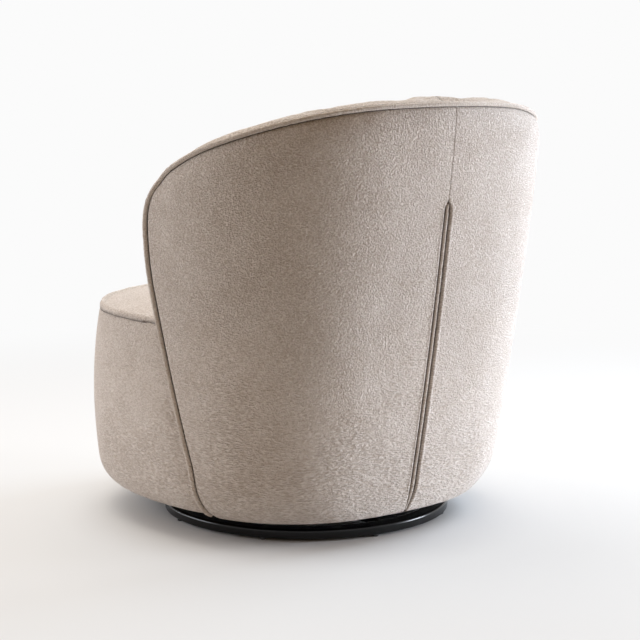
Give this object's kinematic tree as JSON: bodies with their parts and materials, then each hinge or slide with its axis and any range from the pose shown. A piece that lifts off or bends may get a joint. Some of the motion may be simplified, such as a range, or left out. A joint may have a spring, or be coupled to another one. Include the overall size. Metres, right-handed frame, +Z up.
{
  "type": "swivel armchair",
  "caption": "Low upholstered tub armchair with a wrap-round back, piped rim and rounded seat drum, turning freely on a flat steel ring base.",
  "frame": {"origin": "on the floor, on the swivel axis, under the middle of the chair", "axes": "+Z up, -Y the way the sitter faces, +X the sitter's left"},
  "size_m": [0.7638, 0.7723, 0.745],
  "materials": {
    "black_powder_coat": "satin",
    "glide_nylon": "matte",
    "zinc_plated_steel": "satin",
    "bearing_steel": "polished",
    "plywood": "matte",
    "frame_timber": "matte",
    "hardboard": "matte",
    "spring_steel": "satin",
    "felt": "matte",
    "wadding": "matte",
    "upholstery_fabric": "matte",
    "piping_fabric": "matte",
    "dust_cloth": "matte",
    "zip_tape": "matte",
    "zip_nylon": "satin",
    "webbing": "matte",
    "foam": "matte"
  },
  "bodies": {
    "base": {"base_ring": "black_powder_coat", "glides": "glide_nylon", "cross_bar": "black_powder_coat", "cross_bar_halves": "black_powder_coat", "lower_swivel_plate": "zinc_plated_steel", "swivel_pivot": "zinc_plated_steel", "lower_plate_bolts": "zinc_plated_steel", "lower_plate_nuts": "zinc_plated_steel"},
    "bearing": {"bearing_cage": "zinc_plated_steel", "bearing_balls": "bearing_steel"},
    "chair": {"upper_swivel_plate": "zinc_plated_steel", "upper_plate_bolts": "zinc_plated_steel", "base_board": "plywood", "dust_cover": "dust_cloth", "board_screws": "zinc_plated_steel", "box_screws": "zinc_plated_steel", "corner_blocks": "frame_timber", "seat_springs": "spring_steel", "spring_clips": "zinc_plated_steel", "spring_felt": "felt", "outer_wadding": "wadding", "outer_board": "hardboard", "welt": "piping_fabric", "zip_tape": "zip_tape", "zip_chain": "zip_nylon", "zip_slider": "zip_nylon", "bottom_rail": "plywood", "top_rail": "plywood", "back_webbing": "webbing", "inner_back_foam": "foam", "seat_topper": "foam", "seat_foam": "foam", "front_foam": "foam", "front_panel": "hardboard", "outer_cover_left": "upholstery_fabric", "outer_cover_right": "upholstery_fabric", "inner_cover_left": "upholstery_fabric", "inner_cover_right": "upholstery_fabric", "seat_cover": "upholstery_fabric", "front_cover": "upholstery_fabric", "arm_post_left": "frame_timber", "arm_post_right": "frame_timber", "back_post_left": "frame_timber", "back_post_right": "frame_timber", "side_post_left": "frame_timber", "side_post_right": "frame_timber", "seat_box_front": "plywood", "seat_box_back": "plywood", "seat_box_left": "plywood", "seat_box_right": "plywood"}
  },
  "joints": [
    {"name": "swivel", "type": "hinge", "parent": "base", "child": "chair", "pos_m": [0, 0, 0.04], "axis": [0, 0, 1], "continuous": true},
    {"name": "bearing_turn", "type": "hinge", "parent": "base", "child": "bearing", "pos_m": [0, 0, 0.03], "axis": [0, 0, 1], "continuous": true}
  ],
  "couplings": [
    {"joint": "bearing_turn", "follows": "swivel", "ratio": 0.5}
  ]
}
